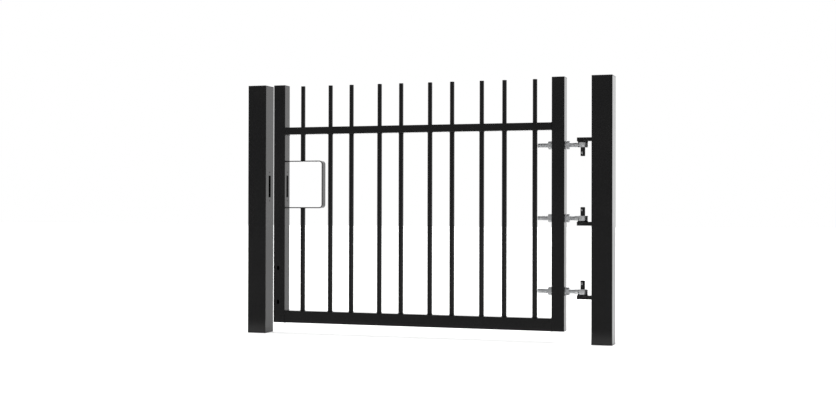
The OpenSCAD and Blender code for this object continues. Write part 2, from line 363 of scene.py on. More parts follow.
@dataclass(frozen=True)
class ZincPlate:
    """Dull bright zinc on steel hardware, with painted shade darkening the faces that look down.
    """

    name: str
    colour: Colour = (0.84, 0.85, 0.86)
    dull: Colour = (0.68, 0.69, 0.7)
    underside_shade: Colour = (0.2, 0.2, 0.2)
    film_and_shade: float = 0.55
    underside: Band = (-0.9, -0.2)
    grain: float = 700.0
    mottle: float = 0.35
    gloss: Band = (0.28, 0.42)
    metal: float = 0.9
    dusted_metal: float = 0.75
    drawn: float = 0.12
    relief: float = 0.1 * MM

    def build(self) -> bpy.types.Material:
        """Builds the material.

        Returns:
            The plate's material.
        """
        paint = Paint(self.name)
        zinc = GROUPS.spangle.use(paint, Place=paint.place, Grain=self.grain).outputs
        dust = GROUPS.weather.use(paint, Place=paint.place).outputs["Dust"]
        mottled = paint.math("MULTIPLY", zinc["Grain"], self.mottle)
        share = paint.math("MAXIMUM", mottled, zinc["Bloom"])
        tone = paint.mix(share, solid(self.colour), solid(self.dull))
        facing = paint.add("ShaderNodeNewGeometry").outputs["Normal"]
        # Painted shade: faces whose normals point down are mixed towards a dark grey.
        film_and_shade = paint.span(paint.parts(facing)["Z"], *self.underside, self.film_and_shade, 0.0)
        paint.give("Base Color", paint.mix(film_and_shade, tone, solid(self.underside_shade)))
        metal = paint.span(dust, 0.0, 1.0, self.metal, self.dusted_metal * self.metal)
        paint.give("Metallic", metal)
        paint.give("Roughness", paint.span(zinc["Bloom"], 0.0, 1.0, *self.gloss))
        paint.bump(self.drawn, self.relief, zinc["Height"])
        return paint.material


FINISHES: dict[Slot, Coating | ZincPlate] = {
    Slot.POST: Coating("post_coat"),
    Slot.LEAF: Coating("leaf_coat", dimples=450.0),
    Slot.BAR: Coating("bar_coat", dimples=480.0, gloss=(0.09, 0.14)),
    Slot.CAP: Coating("cap_moulding", (0.011, 0.011, 0.0115), dimples=520.0, peel=0.12,
                      gloss=(0.3, 0.42), rub=0.1),
    Slot.PIN: Coating("pin_blacking", (0.009, 0.009, 0.0095), gloss=(0.26, 0.38), rub=0.6),
    Slot.BUSH: Coating("bush_nylon", (0.007, 0.007, 0.0075), dimples=600.0, peel=0.03,
                       gloss=(0.32, 0.42), rub=0.05),
    Slot.EYE: ZincPlate("eye_zinc", metal=0.96),
    Slot.NUT: ZincPlate("nut_zinc", (0.7, 0.71, 0.72), (0.56, 0.57, 0.58), grain=850.0),
    Slot.WASHER: ZincPlate("washer_zinc", (0.72, 0.73, 0.74), (0.56, 0.57, 0.58),
                           gloss=(0.3, 0.45)),
    Slot.SPLIT: ZincPlate("split_pin_zinc", (0.85, 0.86, 0.87), gloss=(0.2, 0.32)),
}
MATERIALS = {slot: finish.build() for slot, finish in FINISHES.items()}


def add_piece(name: str, mesh: bpy.types.Mesh, slot: Slot, body: Body,
              nodes: Sequence[str]) -> bpy.types.Object:
    """Makes a finished piece of a mesh, hangs it on its body's empty and hides the CAD nodes it
    stands for.

    Args:
        name: Name of the piece.
        mesh: Its mesh, in the gate's own frame.
        slot: Its finish.
        body: The body it moves with.
        nodes: The CAD nodes it stands for.

    Returns:
        The new object.
    """
    mesh.name = name
    mesh.materials.clear()
    mesh.materials.append(MATERIALS[slot])
    mesh.shade_smooth()
    mesh.set_sharp_from_angle(angle=SHARP)
    piece = bpy.data.objects.new(name, mesh)
    bpy.context.scene.collection.objects.link(piece)
    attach(piece, body.value)
    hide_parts(*nodes)
    log.info("%s: %d faces, finish %s", name, len(mesh.polygons), slot.value)
    return piece


class Shell:
    """Gathers closed lofts into the mesh of one piece."""

    def __init__(self) -> None:
        """Starts an empty mesh with an edge-wear layer."""
        self.bm = bmesh.new()
        self.edge = self.bm.verts.layers.float.new("edge")

    def loft(self, rings: Sequence[Sequence[Vector]], wear: Sequence[float] = (),
             looped: bool = False) -> "Shell":
        """Skins a row of rings that have the same number of points.

        Args:
            rings: The rings in order.
            wear: How exposed each ring is, from 0 to 1; left out, none is.
            looped: True joins the last ring to the first, as a tube's wall does;
                otherwise both ends are capped.

        Returns:
            The shell itself.
        """
        wear = wear or [0.0] * len(rings)
        made = []
        for ring, worn in zip(rings, wear):
            verts = [self.bm.verts.new(point) for point in ring]
            for vert in verts:
                vert[self.edge] = worn
            made.append(verts)
        faces = []
        count = len(made[0])
        pairs = list(zip(made, made[1:] + made[:1])) if looped else list(zip(made, made[1:]))
        for low, high in pairs:
            for i in range(count):
                j = (i + 1) % count
                faces.append(self.bm.faces.new((low[i], low[j], high[j], high[i])))
        if not looped:
            faces.append(self.bm.faces.new(list(reversed(made[0]))))
            faces.append(self.bm.faces.new(made[-1]))
        bmesh.ops.recalc_face_normals(self.bm, faces=faces)
        return self

    def stack(self, ring: Callable[[float, float], list[Vector]], places: Sequence[Place],
              looped: bool = False) -> "Shell":
        """Skins rings that are each given by inset, place and exposure."""
        rings = [ring(inset, at) for inset, at, _ in places]
        return self.loft(rings, [worn for _, _, worn in places], looped)

    def join(self, mesh: bpy.types.Mesh) -> "Shell":
        """Adds a ready mesh and deletes the original.

        Args:
            mesh: A closed mesh in the gate's frame.

        Returns:
            The shell itself.
        """
        self.bm.from_mesh(mesh)
        bpy.data.meshes.remove(mesh)
        return self

    def mesh(self, cutters: Sequence["Shell"] = ()) -> bpy.types.Mesh:
        """Turns the shell into a mesh, less what the cutters take away.

        Args:
            cutters: Closed shells that don't touch each other.

        Returns:
            The mesh.
        """
        made = bpy.data.meshes.new("shell")
        self.bm.to_mesh(made)
        self.bm.free()
        if not cutters:
            return made
        blade = bpy.data.meshes.new("cutter")
        whole = Shell()
        for cutter in cutters:
            whole.join(cutter.mesh())
        whole.bm.to_mesh(blade)
        whole.bm.free()
        holder, tool = (bpy.data.objects.new(m.name, m) for m in (made, blade))
        for thing in (holder, tool):
            bpy.context.scene.collection.objects.link(thing)
        cut = holder.modifiers.new("holes", "BOOLEAN")
        cut.object, cut.operation, cut.solver = tool, "DIFFERENCE", "EXACT"
        return plain_mesh(holder, tool)


def plain_mesh(holder: bpy.types.Object, *tools: bpy.types.Object) -> bpy.types.Mesh:
    """Applies an object's modifiers and clears the object away.

    Args:
        holder: The object with the modifiers.
        tools: Helper objects to delete too.

    Returns:
        The plain mesh.
    """
    graph = bpy.context.evaluated_depsgraph_get()
    made = bpy.data.meshes.new_from_object(holder.evaluated_get(graph), depsgraph=graph)
    for thing in (holder, *tools):
        data = thing.data
        bpy.data.objects.remove(thing)
        bpy.data.meshes.remove(data)
    return made


def rounded_loop(width: float, depth: float, radius: float, steps: int = 7,
                 lip: float = 0.4 * MM) -> list[Point]:
    """A rectangle with round corners, and support points that keep its flats flat.

    Args:
        width: Size across the first axis.
        depth: Size across the second axis.
        radius: Corner radius.
        steps: Segments in each corner.
        lip: Distance from a bend to its support point.

    Returns:
        The points, anticlockwise.
    """
    points: list[Point] = []
    for turn in range(4):
        start = turn * math.pi / 2
        sx = 1 if turn in (0, 3) else -1
        sy = 1 if turn in (0, 1) else -1
        cx, cy = sx * (width / 2 - radius), sy * (depth / 2 - radius)
        along = (math.sin(start), -math.cos(start))
        first = (cx + radius * math.cos(start), cy + radius * math.sin(start))
        points.append((first[0] + along[0] * lip, first[1] + along[1] * lip))
        for step in range(steps + 1):
            angle = start + step * math.pi / 2 / steps
            points.append((cx + radius * math.cos(angle), cy + radius * math.sin(angle)))
        last = points[-1]
        points.append((last[0] - math.cos(start) * lip, last[1] - math.sin(start) * lip))
    return points


def inset_loop(width: float, depth: float, radius: float, inset: float,
               least: float) -> list[Point]:
    """A rounded rectangle moved inwards, its corners kept at least this round."""
    return rounded_loop(width - 2 * inset, depth - 2 * inset, max(radius - inset, least))


def circle_loop(radius: float, count: int = 64) -> list[Point]:
    """Points round a circle, anticlockwise."""
    angles = [i * math.tau / count for i in range(count)]
    return [(radius * math.cos(angle), radius * math.sin(angle)) for angle in angles]


def oblong_loop(length: float, width: float, steps: int = 12) -> list[Point]:
    """Points round a hole with parallel sides and half-round ends, anticlockwise.

    Args:
        length: Size along the first axis.
        width: Size along the second axis.
        steps: Segments in each end.

    Returns:
        The points.
    """
    radius, reach = width / 2, (length - width) / 2
    points = []
    for side in (1, -1):
        for step in range(steps + 1):
            angle = (step / steps - side / 2) * math.pi
            points.append((side * reach + radius * math.cos(angle), radius * math.sin(angle)))
    return points


class Axis(Enum):
    """The direction that a tube, a pin or a hole runs in."""

    X = 0
    Y = 1
    Z = 2

    def ring(self, centre: Vector, loop: Sequence[Point], at: float) -> list[Vector]:
        """Stands a flat loop across the axis.

        Args:
            centre: A point on the axis.
            loop: Points of the loop; they follow Y and Z, Z and X, or X and Y.
            at: Place along the axis.

        Returns:
            The ring's points.
        """
        first, second = (self.value + 1) % 3, (self.value + 2) % 3
        ring = []
        for u, v in loop:
            point = Vector(centre)
            point[first] += u
            point[second] += v
            point[self.value] = at
            ring.append(point)
        return ring


def plug(axis: Axis, centre: Vector, loop: Sequence[Point], start: float, end: float) -> Shell:
    """A straight cutter of one outline, along an axis through a centre."""
    return Shell().loft([axis.ring(centre, loop, start), axis.ring(centre, loop, end)])


def lathe(axis: Axis, centre: Vector, profile: Sequence[Point], wear: Sequence[float] = (),
          looped: bool = False, count: int = 64) -> Shell:
    """Turns radii and places about an axis; looped makes a ring with a bore."""
    rings = [axis.ring(centre, circle_loop(radius, count), at) for radius, at in profile]
    return Shell().loft(rings, wear, looped)


def ring_profile(bore: float, radius: float, start: float, end: float,
                 edge: float) -> tuple[list[Point], list[float]]:
    """The section of a flat ring with rounded edges, for a looped lathe.

    Args:
        bore: Radius of the hole.
        radius: Outside radius.
        start: Lower face.
        end: Upper face.
        edge: Size of the rounding.

    Returns:
        The profile and its exposure.
    """
    half, small = edge * (1 - math.cos(math.pi / 4)), edge / 2
    profile, wear = [], []
    for at, inwards in ((start, 1), (end, -1)):
        out = [(radius - edge, at), (radius - half, at + inwards * half),
               (radius, at + inwards * edge)]
        profile += out if inwards > 0 else out[::-1]
        wear += [0.4, 1.0, 0.4]
    for at, inwards in ((end, -1), (start, 1)):
        rim = [(bore + small, at), (bore, at + inwards * small)]
        profile += rim if inwards < 0 else rim[::-1]
        wear += [0.6, 0.2] if inwards < 0 else [0.2, 0.6]
    return profile, wear


class GeometryTree:
    """A geometry node tree with named inputs that makes one repeated feature."""

    RIPPLE = {"Segments": 8, "Rings": 5}
    RIPPLE_DEPTH = 0.75
    RIPPLE_SIZES = (0.88, 1.12)

    def __init__(self, name: str, inputs: dict[str, Input]) -> None:
        """Makes the tree's sockets.

        Args:
            name: Name of the tree.
            inputs: Input names and defaults; an integer, a number or a vector.
        """
        self.tree = bpy.data.node_groups.new(name, "GeometryNodeTree")
        add = self.tree.interface.new_socket
        add("Geometry", in_out="OUTPUT", socket_type="NodeSocketGeometry")
        self.sockets: dict[str, str] = {}
        kinds = {int: "NodeSocketInt", float: "NodeSocketFloat", tuple: "NodeSocketVector"}
        for label, value in inputs.items():
            socket = add(label, in_out="INPUT", socket_type=kinds[type(value)])
            socket.default_value = value
            self.sockets[label] = socket.identifier
        socket = add("Material", in_out="INPUT", socket_type="NodeSocketMaterial")
        self.sockets["Material"] = socket.identifier
        self.wires = Wiring(self.tree)
        self.source = self.wires.add("NodeGroupInput").outputs

    def close(self, geometry: bpy.types.NodeSocket) -> None:
        """Ends the tree in real, painted geometry.

        Args:
            geometry: What the tree has made so far.
        """
        real = self.wires.add("GeometryNodeRealizeInstances", {0: geometry}).outputs[0]
        inputs = {"Geometry": real, "Material": self.source["Material"]}
        painted = self.wires.add("GeometryNodeSetMaterial", inputs).outputs[0]
        self.wires.add("NodeGroupOutput", {0: painted})

    def make(self, slot: Slot, **values: Input) -> bpy.types.Mesh:
        """Runs the tree with given sizes.

        Args:
            slot: Finish of the result.
            values: Inputs of the tree, with underscores for spaces.

        Returns:
            The result as a plain mesh.
        """
        holder = bpy.data.objects.new("holder", bpy.data.meshes.new("holder"))
        bpy.context.scene.collection.objects.link(holder)
        modifier = holder.modifiers.new("tree", "NODES")
        modifier.node_group = self.tree
        for name, value in values.items():
            modifier[self.sockets[name.replace("_", " ")]] = value
        modifier[self.sockets["Material"]] = MATERIALS[slot]
        return plain_mesh(holder)

    def move(self, geometry: Input, **settings: Input) -> bpy.types.NodeSocket:
        """Moves or scales geometry and returns it."""
        inputs = {"Geometry": geometry, **settings}
        return self.wires.add("GeometryNodeTransform", inputs).outputs[0]

    def smooth(self, geometry: Input) -> bpy.types.NodeSocket:
        """Shades geometry smooth and returns it."""
        return self.wires.add("GeometryNodeSetShadeSmooth", {"Geometry": geometry}).outputs[0]

    def beads(self, path: bpy.types.NodeSocket) -> bpy.types.NodeSocket:
        """Lays overlapping weld ripples along a curve, by the tree's Bead, Pitch and Seed.

        Args:
            path: The curve.

        Returns:
            The ripples as instances.
        """
        wires, source = self.wires, self.source
        inputs = {"Curve": path, "Length": source["Pitch"]}
        points = wires.add("GeometryNodeCurveToPoints", inputs, mode="LENGTH")
        inputs = {**self.RIPPLE, "Radius": source["Bead"]}
        ripple = wires.add("GeometryNodeMeshUVSphere", inputs).outputs[0]
        drawn = self.move(ripple, Scale=(1.0, 1.0, self.RIPPLE_DEPTH))
        vary = wires.add("FunctionNodeRandomValue", {"Seed": source["Seed"]}, data_type="FLOAT")
        for number, size in zip((2, 3), self.RIPPLE_SIZES):
            wires.feed(vary.inputs[number], size)
        inputs = {
            "Points": points.outputs["Points"],
            "Instance": self.smooth(drawn),
            "Rotation": points.outputs["Rotation"],
            "Scale": vary.outputs[1],
        }
        return wires.add("GeometryNodeInstanceOnPoints", inputs).outputs[0]


def bead_run_tree() -> GeometryTree:
    """A straight weld bead between two points.

    Returns:
        The tree.
    """
    ends = {"Start": (0.0, 0.0, 0.0), "End": (0.0, 0.1, 0.0)}
    made = GeometryTree("weld_run", {**ends, "Bead": 1.6 * MM, "Pitch": 1.1 * MM, "Seed": 0})
    inputs = {label: made.source[label] for label in ends}
    line = made.wires.add("GeometryNodeCurvePrimitiveLine", inputs)
    made.close(made.beads(line.outputs[0]))
    return made


def upright_tree(sides: int = 40, weld_points: int = 48, seam_out: float = 0.25) -> GeometryTree:
    """A round bar with a saw-cut top, and a ring of weld at its foot and, if asked, its head.

    Args:
        sides: Facets of the bar.
        weld_points: Points of the circle that a weld follows.
        seam_out: How far that circle is outside the bar, as a share of the bead.

    Returns:
        The tree.
    """
    inputs = {
        "Foot": (0.0, 0.0, 0.0),
        "Height": 0.5,
        "Radius": 10 * MM,
        "Bevel": 0.6 * MM,
        "Bead": 1.4 * MM,
        "Pitch": 1.1 * MM,
        "Head weld": 0.0,
        "Seed": 0,
    }
    made = GeometryTree("welded_upright", inputs)
    wires, source = made.wires, made.source
    straight = wires.math("SUBTRACT", source["Height"], source["Bevel"])
    inputs = {"Vertices": sides, "Radius": source["Radius"], "Depth": straight}
    bar = wires.add("GeometryNodeMeshCylinder", inputs).outputs
    half = wires.math("MULTIPLY", straight, 0.5)
    middle = wires.add("ShaderNodeCombineXYZ", {"Z": half}).outputs[0]
    stood = made.move(bar["Mesh"], Translation=middle)
    inputs = {"Mesh": stood, "Selection": bar["Top"], "Offset Scale": source["Bevel"]}
    raised = wires.add("GeometryNodeExtrudeMesh", inputs, mode="FACES").outputs
    bevelled = wires.math("DIVIDE", source["Bevel"], source["Radius"])
    narrow = wires.math("SUBTRACT", 1.0, bevelled)
    inputs = {"Geometry": raised["Mesh"], "Selection": raised["Top"], "Scale": narrow}
    cut = wires.add("GeometryNodeScaleElements", inputs).outputs[0]
    outside = wires.math("MULTIPLY", source["Bead"], seam_out)
    seam = wires.math("ADD", source["Radius"], outside)
    inputs = {"Resolution": weld_points, "Radius": seam}
    circle = wires.add("GeometryNodeCurvePrimitiveCircle", inputs, mode="RADIUS")
    foot_weld = made.beads(circle.outputs["Curve"])
    top = wires.add("ShaderNodeCombineXYZ", {"Z": source["Height"]}).outputs[0]
    head_weld = made.move(foot_weld, Translation=top)
    wanted = wires.math("GREATER_THAN", source["Head weld"], 0.5)
    inputs = {"Switch": wanted, "True": head_weld}
    head = wires.add("GeometryNodeSwitch", inputs, input_type="GEOMETRY").outputs[0]
    whole = wires.add("GeometryNodeJoinGeometry")
    for part in (head, foot_weld, made.smooth(cut)):
        wires.feed(whole.inputs[0], part)
    made.close(made.move(whole.outputs[0], Translation=source["Foot"]))
    return made


def thread_tree(flank: Band = (0.12, 0.88), tip_share: float = 1e-5,
                seal: float = 0.002 * MM) -> GeometryTree:
    """A threaded shank along -X: a grid rolled into a closed rod whose radius follows a helix.

    Args:
        flank: Where the ridge's slope starts and ends, as shares of half a pitch.
        tip_share: Share of the length at either end that closes the rod.
        seal: Distance within which the rolled grid's points are joined.

    Returns:
        The tree.
    """
    inputs = {
        "Origin": (0.0, 0.0, 0.0),
        "Length": 0.15,
        "Crest": 9 * MM,
        "Depth": 1.3 * MM,
        "Pitch": 2.5 * MM,
        "Chamfer": 1.5 * MM,
        "Rows": 400,
        "Sides": 25,
    }
    made = GeometryTree("rolled_thread", inputs)
    wires, source = made.wires, made.source
    inputs = {"Size X": 1.0, "Size Y": 1.0, "Vertices X": source["Rows"],
              "Vertices Y": source["Sides"]}
    grid = wires.add("GeometryNodeMeshGrid", inputs).outputs["Mesh"]
    flat = wires.parts(wires.add("GeometryNodeInputPosition").outputs[0])
    share = wires.math("ADD", flat["X"], 0.5)
    turn = wires.math("ADD", flat["Y"], 0.5)
    along = wires.math("MULTIPLY", share, source["Length"])
    turns = wires.math("DIVIDE", along, source["Pitch"])
    phase = wires.math("FRACT", wires.math("SUBTRACT", turns, turn))
    doubled = wires.math("MULTIPLY", phase, 2.0)
    ridge = wires.math("ABSOLUTE", wires.math("SUBTRACT", doubled, 1.0))
    lowered = wires.math("SUBTRACT", 1.0, wires.span(ridge, *flank))
    groove = wires.math("MULTIPLY", source["Depth"], lowered)
    left = wires.math("SUBTRACT", source["Length"], along)
    taper = wires.math("SUBTRACT", source["Chamfer"], left, clamp=True)
    full = wires.math("SUBTRACT", wires.math("SUBTRACT", source["Crest"], groove), taper)
    begun = wires.math("GREATER_THAN", share, tip_share)
    ended = wires.math("LESS_THAN", share, 1 - tip_share)
    radius = wires.math("MULTIPLY", full, wires.math("MULTIPLY", begun, ended))
    angle = wires.math("MULTIPLY", turn, math.tau)
    inputs = {
        "X": wires.math("MULTIPLY", along, -1.0),
        "Y": wires.math("MULTIPLY", radius, wires.math("COSINE", angle)),
        "Z": wires.math("MULTIPLY", radius, wires.math("SINE", angle)),
    }
    rolled = wires.add("ShaderNodeCombineXYZ", inputs).outputs[0]
    inputs = {0: rolled, 1: source["Origin"]}
    placed = wires.add("ShaderNodeVectorMath", inputs, operation="ADD").outputs[0]
    inputs = {"Geometry": grid, "Position": placed}
    rod = wires.add("GeometryNodeSetPosition", inputs).outputs[0]
    inputs = {"Geometry": rod, "Distance": seal}
    sealed = wires.add("GeometryNodeMergeByDistance", inputs).outputs[0]
    made.close(made.smooth(sealed))
    return made


BEAD_RUN = bead_run_tree()
UPRIGHT = upright_tree()
THREAD = thread_tree()


@dataclass
class SquareTube:
    """A welded steel tube with a thin wall, deburred at both ends."""

    node: str
    axis: Axis
    wall: float
    radius: float
    inner_radius: float = 0.5 * MM
    deburr: float = 0.4 * MM
    lip: float = 0.6 * MM

    def shell(self) -> Shell:
        """Builds the tube's wall as one closed shell.

        Returns:
            The shell, outside and inside.
        """
        low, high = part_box(self.node)
        centre = (low + high) / 2
        run = self.axis.value
        first, second = (run + 1) % 3, (run + 2) % 3
        width, depth = high[first] - low[first], high[second] - low[second]
        start, end, cut, wall = low[run], high[run], self.deburr, self.wall

        def ring(inset: float, at: float) -> list[Vector]:
            """One loop of the wall, inset from the outside."""
            loop = inset_loop(width, depth, self.radius, inset, self.inner_radius)
            return self.axis.ring(centre, loop, at)

        places = [
            (cut, start, 1.0), (0.0, start + cut, 1.0), (0.0, start + cut + self.lip, 0.0),
            (0.0, end - cut - self.lip, 0.0), (0.0, end - cut, 1.0), (cut, end, 1.0),
            (wall - cut, end, 0.4), (wall, end - cut, 0.0), (wall, start + cut, 0.0),
            (wall - cut, start, 0.4),
        ]
        return Shell().stack(ring, places, looped=True)


@dataclass
class SquareCap:
    """A moulded cap: a plate with a rounded rim, and a skirt that plugs into the tube."""

    node: str
    radius: float
    wall: float
    plate: float = 3 * MM
    rim: float = 1.1 * MM
    rim_steps: int = 3
    crown: float = 1.5 * MM
    seat_edge: float = 0.25 * MM
    skirt: float = 2 * MM
    skirt_lap: float = 0.5 * MM
    gap: float = 0.2 * MM
    inner_radius: float = 0.5 * MM
    hollow_radius: float = 0.6 * MM
    hollow_lip: float = 0.2 * MM

    def mesh(self) -> bpy.types.Mesh:
        """Builds the cap.

        Returns:
            The cap's mesh.
        """
        low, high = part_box(self.node)
        centre, width, depth = (low + high) / 2, high.x - low.x, high.y - low.y
        seat = high.z - self.plate
        places = [(self.seat_edge, seat, 0.3), (0.0, seat + self.seat_edge, 0.3)]
        for step in range(self.rim_steps + 1):
            angle = step / self.rim_steps * math.pi / 2
            inset = self.rim * (1 - math.cos(angle))
            rise = self.rim * math.sin(angle)
            places.append((inset, high.z - self.rim + rise, 1.0 if step else 0.2))
        places.append((self.rim + self.crown, high.z, 0.0))

        def ring(inset: float, at: float) -> list[Vector]:
            """One loop of the plate, inset from the outside."""
            loop = inset_loop(width, depth, self.radius, inset, self.inner_radius)
            return Axis.Z.ring(centre, loop, at)

        shell = Shell().stack(ring, places)
        inset = self.wall + self.gap
        outside = inset_loop(width, depth, self.radius, inset, self.inner_radius)
        inset += self.skirt
        inside = rounded_loop(width - 2 * inset, depth - 2 * inset, self.hollow_radius,
                              lip=self.hollow_lip)
        foot, top = low.z, seat + self.skirt_lap
        turns = ((outside, foot), (outside, top), (inside, top), (inside, foot))
        rings = [Axis.Z.ring(centre, loop, at) for loop, at in turns]
        return shell.loft(rings, looped=True).mesh()


@dataclass
class LockHoles:
    """The square-ended slot for a lock bolt, with a screw hole above and below it."""

    height: float
    slot: float
    depth: float
    screw_pitch: float = 118 * MM
    screw: float = 6 * MM
    slot_height: float = 90 * MM
    corner: float = 0.8 * MM

    def cutters(self, face: float, back: float) -> list[Shell]:
        """The shells that cut the holes.

        Args:
            face: Where the drilled wall's outer face is, along X.
            back: Where the slot's cut ends, along X.

        Returns:
            The cutters.
        """
        centre = Vector((0.0, 0.0, self.height))
        outline = rounded_loop(self.slot, self.slot_height, self.corner, steps=3, lip=0.2 * MM)
        made = [plug(Axis.X, centre, outline, back, face + MM)]
        for side in (-1, 1):
            centre = Vector((0.0, 0.0, self.height + side * self.screw_pitch / 2))
            loop = circle_loop(self.screw / 2, SMALL_SIDES)
            made.append(plug(Axis.X, centre, loop, face - self.depth - MM, face + MM))
        return made


@dataclass
class Posts:
    """The latch post and the hinge post with their caps and lugs."""

    wall: float = 3 * MM
    radius: float = 3 * MM
    keep: float = 20 * MM
    lock_height: float = 607 * MM

    def build(self) -> None:
        """Builds both posts and dresses them."""
        for node in ("latch_post", "hinge_post"):
            tube = SquareTube(node, Axis.Z, self.wall, self.radius)
            cutters = []
            if node == "latch_post":
                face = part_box(node)[1].x
                holes = LockHoles(self.lock_height, self.keep, self.wall)
                cutters = holes.cutters(face, face - self.wall - MM)
            add_piece(node + "_tube", tube.shell().mesh(cutters), Slot.POST, Body.POSTS, [node])
            cap = SquareCap(node + "_cap", self.radius, self.wall)
            add_piece(node + "_top_cap", cap.mesh(), Slot.CAP, Body.POSTS, [node + "_cap"])


@dataclass
class Uprights:
    """The long round bars and the short rods above the top rail."""

    bar_bevel: float = 0.3 * MM
    rod_bevel: float = 0.8 * MM
    bead: float = 1.3 * MM

    def build(self) -> None:
        """Builds every bar and rod from its own node's size."""
        bars = ["bar_01_lower", "bar_01_upper"] + [f"bar_{n:02d}" for n in range(2, 11)]
        rods = [f"rod_{n:02d}" for n in range(1, 11)]
        for seed, node in enumerate(bars + rods):
            low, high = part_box(node)
            is_bar = node in bars
            mesh = UPRIGHT.make(
                Slot.BAR,
                Foot=((low.x + high.x) / 2, (low.y + high.y) / 2, low.z),
                Height=high.z - low.z,
                Radius=(high.y - low.y) / 2,
                Bevel=self.bar_bevel if is_bar else self.rod_bevel,
                Bead=self.bead,
                Head_weld=1.0 if is_bar else 0.0,
                Seed=seed,
            )
            add_piece(node + "_round", mesh, Slot.BAR, Body.LEAF, [node])


@dataclass
class LockFrame:
    """The flat strip bent round the lock space and welded to the latch stile."""

    thickness: float = 4 * MM
    bend: float = 15 * MM
    edge: float = 0.4 * MM
    steps: int = 10
    weld_inset: float = 2 * MM

    def build(self) -> None:
        """Builds the strip and its welds."""
        low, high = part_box("lock_frame")
        half = self.thickness / 2
        middle = self.bend - half
        stations: list[Place] = [(low.x, low.z + half, -math.pi / 2)]
        for turn, z in ((0, low.z + self.bend), (1, high.z - self.bend)):
            for step in range(self.steps + 1):
                angle = -math.pi / 2 + (turn + step / self.steps) * math.pi / 2
                x = high.x - self.bend + middle * math.cos(angle)
                stations.append((x, z + middle * math.sin(angle), angle))
        stations.append((low.x, high.z - half, math.pi / 2))
        rings = [self.ring(x, z, angle, low.y, high.y) for x, z, angle in stations]
        shell = Shell().loft(rings)
        start, end = low.y + self.weld_inset, high.y - self.weld_inset
        levels = (low.z, low.z + self.thickness, high.z - self.thickness, high.z)
        for number, z in enumerate(levels):
            shell.join(BEAD_RUN.make(Slot.LEAF, Start=(low.x, start, z), End=(low.x, end, z),
                                     Seed=number))
        add_piece("lock_frame_strip", shell.mesh(), Slot.LEAF, Body.LEAF, ["lock_frame"])

    def ring(self, x: float, z: float, angle: float, front: float, back: float) -> list[Vector]:
        """The strip's section at one station, with eased edges.

        Args:
            x: Place of the strip's middle.
            z: Height of the strip's middle.
            angle: Direction that the outside faces.
            front: Front edge.
            back: Back edge.

        Returns:
            The ring's points.
        """
        half, ease = self.thickness / 2, self.edge
        outline = [
            (-half + ease, front), (half - ease, front),
            (half, front + ease), (half, front + 2 * ease),
            (half, back - 2 * ease), (half, back - ease),
            (half - ease, back), (-half + ease, back),
            (-half, back - ease), (-half, back - 2 * ease),
            (-half, front + 2 * ease), (-half, front + ease),
        ]
        away = Vector((math.cos(angle), 0.0, math.sin(angle)))
        return [Vector((x, y, z)) + out * away for out, y in outline]


@dataclass
class LeafFrame:
    """The stiles, the two rails and the welds between them."""

    wall: float = 2.5 * MM
    radius: float = 2.5 * MM
    slot: float = 16 * MM
    lock_height: float = 607 * MM
    rail_deburr: float = 0.3 * MM
    bolt_holes: Band = (130 * MM, 270 * MM)
    bolt_hole_side: float = 21 * MM
    bolt_hole: Band = (11 * MM, 18 * MM)
    shank_hole: float = 9.5 * MM
    shank_sides: int = 40
    bead: float = 1.7 * MM
    weld_inset: float = 0.6
    rail_seeds: int = 10

    def build(self) -> None:
        """Builds the frame's four tubes and their caps."""
        holes = {"latch_stile": self.latch_cutters(), "hinge_stile": self.hinge_cutters()}
        for node, cutters in holes.items():
            tube = SquareTube(node, Axis.Z, self.wall, self.radius)
            add_piece(node + "_tube", tube.shell().mesh(cutters), Slot.LEAF, Body.LEAF, [node])
            cap = SquareCap(node + "_cap", self.radius, self.wall)
            add_piece(node + "_top_cap", cap.mesh(), Slot.CAP, Body.LEAF, [node + "_cap"])
        for number, node in enumerate(("bottom_rail", "top_rail")):
            tube = SquareTube(node, Axis.X, self.wall, self.radius, deburr=self.rail_deburr)
            shell = tube.shell()
            for run in self.rail_welds(node, self.rail_seeds * number):
                shell.join(run)
            add_piece(node + "_tube", shell.mesh(), Slot.LEAF, Body.LEAF, [node])

    def latch_cutters(self) -> list[Shell]:
        """The lock slot through both walls, the screw holes and the drop bolt holes.

        Returns:
            The cutters.
        """
        low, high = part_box("latch_stile")
        made = LockHoles(self.lock_height, self.slot, self.wall).cutters(high.x, low.x - MM)
        width, height = self.bolt_hole
        loop = oblong_loop(height, width)
        for z in self.bolt_holes:
            centre = Vector((low.x + self.bolt_hole_side, 0.0, z))
            made.append(plug(Axis.Y, centre, loop, low.y - MM, low.y + self.wall + MM))
        return made

    def hinge_cutters(self) -> list[Shell]:
        """The clearance holes for the three eye bolts.

        Returns:
            The cutters.
        """
        low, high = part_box("hinge_stile")
        made = []
        for place in Hinge.PLACES:
            eye_low, eye_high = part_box("eye_bolt_" + place)
            centre = Vector((0.0, 0.0, (eye_low.z + eye_high.z) / 2))
            loop = circle_loop(self.shank_hole, self.shank_sides)
            made.append(plug(Axis.X, centre, loop, low.x - MM, high.x + MM))
        return made

    def rail_welds(self, node: str, seed: int) -> list[bpy.types.Mesh]:
        """The beads across the top, the bottom and the back of a rail's two ends.

        Args:
            node: The rail's CAD node.
            seed: First seed of the beads.

        Returns:
            One mesh for each bead.
        """
        low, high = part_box(node)
        inset = self.radius * self.weld_inset
        made = []
        for x in (low.x, high.x):
            corners = [(low.y + inset, high.z), (high.y - inset, high.z), (high.y, high.z - inset),
                       (high.y, low.z + inset), (high.y - inset, low.z), (low.y + inset, low.z)]
            for start, end in ((0, 1), (2, 3), (4, 5)):
                a, b = corners[start], corners[end]
                seed += 1
                made.append(BEAD_RUN.make(Slot.LEAF, Start=(x, *a), End=(x, *b), Bead=self.bead,
                                          Seed=seed))
        return made


